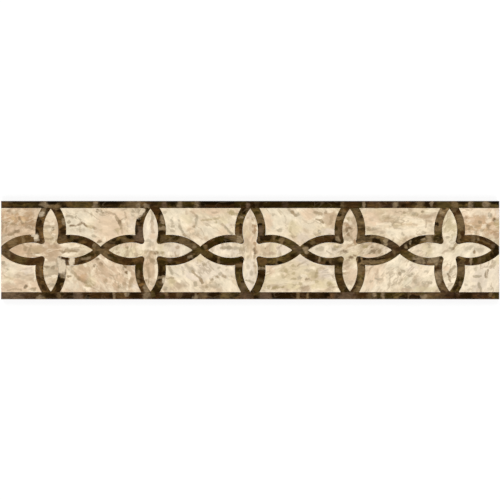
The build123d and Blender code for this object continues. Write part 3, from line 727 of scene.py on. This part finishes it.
cream_stone("lower_panel_2", 455, CREAM, -42, [
    cloud(MILK, -92, -24, 20, 14, 85), vein(ASH, -97, -21, -93.5, -28, 2.8, 80),
    vein(ASH, -82, -20, -80, -28, 3, 65), cloud(MOSS, -95, -38, 10, 8), cloud(SEDGE, -94, -37, 8, 5, 50),
    vein(BROWN, -100, -33.5, -92, -33, 2.4, 65), spot(IVORY, -85, -38, 4, 4, 90),
    cloud(MAUVE, -89, -44, 13, 7), spot(ASH, -102, -46, 6, 3, 90), cloud(MAUVE, -79, -42, 10, 8, 40),
    cloud(PEARL, -52, -24, 50, 20, 80), vein(ASH, -76, -20, -69, -25, 4.5),
    vein(BROWN, -70, -25, -57, -38.5, 2.6, 80), vein(LILAC, -74, -30, -65, -36, 4, 85),
    spot(BROWN, -40, -32, 5.5, 3), spot(BROWN, -31, -31, 4, 6, 75, 35), spot(BROWN, -47, -37, 4, 6),
    spot(BROWN, -51.5, -44, 4, 4, 70), spot(ASH, -66, -41, 4, 6, 90), spot(BROWN, -59, -37, 4, 3),
    spot(ASH, -36, -28, 4, 4, 70), spot(IVORY, -26, -21, 8, 4), cloud(MILK, -32, -40, 20, 8),
    spot(ASH, -38, -41, 6, 3, 75), spot(IVORY, -23, -39, 4, 4), cloud(BROWN, -58, -46, 6, 6, 50),
    spot(ASH, -55, -17, 4, 3), spot(ASH, -37, -21, 3.5, 3, 70), cloud(ASH, -45, -42, 10, 5, 50),
])
cream_stone("lower_panel_3", 466, CREAM, 10, [
    cloud(MOSS, 46, -30, 44, 28, 40), cloud(SEDGE, 42, -28.5, 10, 9), spot(CREAM, 42, -28, 4, 3.6, 95),
    cloud(ROSE, 25, -24, 9, 12), vein(IVORY, 28, -22, 37, -20, 2.4, 60), spot(SEDGE, 52, -19, 5, 4, 60),
    spot(SEDGE, 52, -27.5, 3.5, 3, 60), spot(BROWN, 59, -18, 3.5, 4, 45), spot(SEDGE, 52, -35, 6, 2.6, 70),
    spot(ASH, 60, -33.5, 4, 6, 70), spot(SEDGE, 61, -40, 4.5, 3, 60), spot(SEDGE, 22, -44, 3.5, 3.5, 70),
    vein(SEDGE, 28, -45.5, 39, -44, 3, 90), cloud(MOSS, 51, -44, 14, 6, 80), spot(SEDGE, 18, -43, 3, 8, 30),
    cloud(LILAC, 64, -12, 16, 8), spot(IVORY, 74, -22, 7, 6, 70), spot(ASH, 68, -25, 6, 4, 45),
    cloud(SEDGE, 76, -28, 10, 9, 50), vein(SEDGE, 80.5, -23, 79, -31, 3),
    vein(BARK, 67, -35, 70.5, -34.7, 2.2), spot(IVORY, 64, -31, 7, 3), cloud(LILAC, 92, -28, 16, 14, 90),
    spot(MAUVE, 86, -21.5, 7, 3, 70), cloud(MOSS, 87, -41, 24, 10, 80), spot(SEDGE, 94, -41, 5, 6, 60),
    spot(SEDGE, 79, -38, 5, 4, 50), spot(MAUVE, 67, -46, 9, 6, 85), vein(IVORY, 64, -40, 76, -39, 3, 60),
    spot(IVORY, 105, -47.5, 5, 4),
])
cream_stone("lower_panel_4", 477, MILK, 50, [
    cloud(ROSE, 149, -27, 24, 22, 75), cloud(ROSE, 142, -41, 10, 12, 50),
    vein(MAUVE, 152.5, -24, 152, -32, 3, 50), vein(ASH, 150, -35, 157, -35, 2.2, 75),
    spot(ASH, 145, -38, 4, 3, 60), vein(IVORY, 150, -38, 150, -46, 3, 60), spot(BROWN, 167, -22, 5.5, 3, 50),
    cloud(IVORY, 172, -31, 24, 16, 60), spot(IVORY, 168, -29, 6, 4, 70),
    spot(BARK, 179.5, -27.5, 3.6, 4, 65), spot(ASH, 183, -25, 5, 4, 70), spot(ASH, 181, -34, 3, 4, 50),
    vein(ASH, 190, -30, 196, -28.5, 2.6, 80), spot(ASH, 193, -18, 3.5, 3, 60),
    cloud(LILAC, 196, -22, 12, 8, 80), spot(ASH, 190, -45, 9, 4, 70), cloud(MAUVE, 186, -48, 14, 5, 80),
    vein(ASH, 207, -39, 217, -39, 3, 85), vein(ASH, 208, -41, 208, -45, 2.6, 60),
    cloud(IVORY, 212, -27, 22, 15, 85), spot(ASH, 211, -26, 5, 3.5, 50), cloud(MOSS, 210, -47, 26, 5, 60),
    spot(ASH, 198, -37, 4, 4.5, 60), spot(SEDGE, 187, -34, 4, 4, 45), cloud(IVORY, 165, -43, 16, 11),
])

# Corner stones.
# Four half panels of cream marble that fill the field at the tile's ends, cut and glued in like the panels.
# The two upper ones are stained brown.
cream_stone("corner_upper_left", 600, FAWN, 15, [
    cloud(HONEY, -280, 30, 44, 36), cloud(AMBER, -277, 38, 36, 14, 80), cloud(RUSSET, -263, 31, 16, 12, 75),
    spot(GOLD, -272, 35.5, 5, 5, 50), spot(GOLD, -284, 39, 4, 4, 45), vein(BARK, -277, 38, -273, 33, 2.4),
    vein(BROWN, -298, 35, -286, 32, 2.6), vein(BROWN, -290, 32, -280, 30, 2.4, 60),
    vein(BARK, -283, 21.5, -278, 22.5, 3), vein(BROWN, -290, 17.5, -283, 19.5, 2.6, 80),
    vein(BROWN, -297.5, 22, -297, 33, 1.8, 60), vein(BROWN, -292.5, 22, -292, 32, 1.8, 60),
    spot(ROSE, -279, 26, 5, 3, 60), spot(ROSE, -286, 24, 4, 5, 60), spot(ROSE, -279, 18, 7, 3),
    spot(ROSE, -292, 14, 9, 4, 90), spot(ROSE, -265, 23, 12, 4, 90, -15), spot(ROSE, -257, 45, 3.5, 9, 70),
    spot(IVORY, -283, 46, 4, 5, 50), spot(BROWN, -289, 47, 5, 3, 60), cloud(ASH, -297, 14, 7, 9, 50),
])
cream_stone("corner_lower_left", 611, ROSE, 0, [
    cloud(MILK, -288, -22, 18, 12, 80), cloud(LILAC, -266, -24, 12, 10, 80), dot(BARK, -269, -44.5, 4),
    spot(BROWN, -260.5, -47, 7, 4), spot(ASH, -297, -16, 4.5, 3, 90), spot(ASH, -291, -22, 3, 3, 60),
    cloud(MAUVE, -288, -43, 18, 6, 50), vein(BROWN, -291, -48, -276, -47, 2, 50),
    vein(IVORY, -259, -20, -258.5, -36, 2), cloud(MOSS, -288, -32, 8, 12, 40),
    spot(IVORY, -264, -42, 4, 3, 60), spot(IVORY, -285, -38, 5, 3, 60),
])
cream_stone("corner_upper_right", 622, ROSE, 5, [
    cloud(IVORY, 270, 46, 30, 8, 50), cloud(AMBER, 276, 30, 46, 18, 75),
    vein(BROWN, 260, 29, 275, 29, 2.4, 50), spot(BROWN, 285, 28.5, 5, 4, 85), spot(ROSE, 265, 35, 7, 5, 70),
    spot(BROWN, 276, 33, 4.5, 2.5), spot(BROWN, 278, 24, 5, 3), spot(BROWN, 286, 24, 6, 3, 70),
    cloud(SEDGE, 297, 30, 8, 12, 75), cloud(RUSSET, 296, 19, 12, 8), spot(ASH, 287, 42, 4, 6, 90),
    spot(IVORY, 291.5, 45, 3.5, 6, 70), cloud(LILAC, 297, 43, 4, 9, 80), spot(RUSSET, 256.5, 38, 5, 4),
    spot(ROSE, 292, 27, 7, 5, 70), spot(ASH, 270, 21, 3.5, 2.5), spot(BROWN, 262, 25.5, 2.5, 4, 70),
    cloud(ASH, 296, 9, 8, 8, 50), spot(IVORY, 286, 35.5, 6, 5, 75), spot(IVORY, 280.5, 28.5, 5, 5, 70),
    dot(CHESTNUT, 292.3, 36, 4.5, 75),
])
cream_stone("corner_lower_right", 633, MILK, 60, [
    cloud(PEARL, 282, -34, 40, 32), vein(BARK, 285, -24.5, 282.5, -31, 3, 75),
    spot(ASH, 271, -23, 4.5, 4, 70), vein(ASH, 268, -31.5, 276.5, -31.5, 2.4, 80),
    spot(IVORY, 265, -40, 10, 5), vein(ASH, 275, -41, 277, -48, 2.8, 80), spot(ASH, 268, -43.5, 6, 3, 45),
    spot(ASH, 264, -47, 6, 4, 60), spot(ASH, 288, -47, 6, 4, 50), spot(ASH, 292, -14.5, 4.5, 4.5, 60),
    spot(ASH, 287, -20, 7, 3, 45), spot(IVORY, 266, -23, 4, 6, 70), vein(LILAC, 298, -18, 298, -44, 2, 90),
    spot(ASH, 259, -41, 4, 2.6, 50), cloud(IVORY, 291, -38, 9, 14, 50),
])

# Floor.
# A plain white table top that the tile lies on. It glows a little, so that it shows white, and keeps the
# tile's shadow.
FLOOR_SIDE = 60.0
FLOOR_WHITE = 0.25
FLOOR_GLOW = 0.8


def floor_material():
    """Matt white that shows as plain white where no shadow falls on it."""
    material = bpy.data.materials.new("white_table_top")
    tree = emptied(material)
    rays = node(tree, "LightPath", {}).outputs
    seen = maths(tree, "MAXIMUM", rays["Is Camera Ray"], rays["Is Glossy Ray"])
    seen = maths(tree, "MAXIMUM", seen, rays["Is Transmission Ray"])
    glow = node(tree, "Emission", {"Strength": maths(tree, "MULTIPLY", seen, FLOOR_GLOW)})
    matt = node(tree, "BsdfDiffuse", {"Color": (FLOOR_WHITE, FLOOR_WHITE, FLOOR_WHITE, 1.0)})
    both = node(tree, "AddShader", {0: matt.outputs[0], 1: glow.outputs[0]})
    node(tree, "OutputMaterial", {"Surface": both.outputs[0]})
    return material


table = bmesh.new()
bmesh.ops.create_grid(table, x_segments=1, y_segments=1, size=FLOOR_SIDE / 2)
floor_mesh = bpy.data.meshes.new("floor")
table.to_mesh(floor_mesh)
table.free()
floor_mesh.materials.append(floor_material())
floor = bpy.data.objects.new("floor", floor_mesh)
bpy.context.collection.objects.link(floor)

# Light.
# A pale room that is dimmer overhead, and two wide soft lamps from the front and the back. The polish
# mirrors the room and not the lamps.
ZENITH_LEVEL = 0.01
HORIZON_LEVEL = 1.0
LAMP_LEVEL = 0.385 * math.pi
LAMP_TILT = math.radians(47)
LAMP_SPREAD = math.radians(42)
LAMP_TURNS = {"front_lamp": math.radians(12), "back_lamp": math.radians(192)}

world = bpy.data.worlds.new("pale_room")
room = emptied(world)
direction = node(room, "TexCoord", {}).outputs["Generated"]
up = node(room, "SeparateXYZ", {0: direction}).outputs["Z"]
level = node(room, "MapRange", {"Value": up, "To Min": HORIZON_LEVEL, "To Max": ZENITH_LEVEL})
sky = node(room, "Background", {"Strength": level.outputs["Result"]})
node(room, "OutputWorld", {"Surface": sky.outputs[0]})
bpy.context.scene.world = world

for name, turn in LAMP_TURNS.items():
    lamp = bpy.data.lights.new(name, "SUN")
    lamp.energy = LAMP_LEVEL / math.cos(LAMP_TILT)
    lamp.angle = LAMP_SPREAD
    lamp_object = bpy.data.objects.new(name, lamp)
    lamp_object.rotation_euler = (LAMP_TILT, 0, turn)
    lamp_object.visible_glossy = False
    bpy.context.collection.objects.link(lamp_object)

# Camera.
# It looks straight down on the face, with the tile across the whole width of the picture.
LENS = 100.0
SENSOR = 36.0
# What the picture takes in at the face, its width in pixels, and the pixel where the tile's centre shows
PICTURE_WIDTH = 0.5998
PICTURE_PIXELS = 500
TILE_PIXEL = (250.2, 250.13)

camera = bpy.data.cameras.new("camera")
camera.lens = LENS
camera.sensor_width = SENSOR
camera_object = bpy.data.objects.new("camera", camera)
pixel = PICTURE_WIDTH / PICTURE_PIXELS
camera_object.location = (
    (PICTURE_PIXELS / 2 - TILE_PIXEL[0]) * pixel,
    (TILE_PIXEL[1] - PICTURE_PIXELS / 2) * pixel,
    FACE_HEIGHT + PICTURE_WIDTH * LENS / SENSOR,
)
bpy.context.collection.objects.link(camera_object)
bpy.context.scene.camera = camera_object
bpy.context.scene.view_settings.view_transform = "Standard"
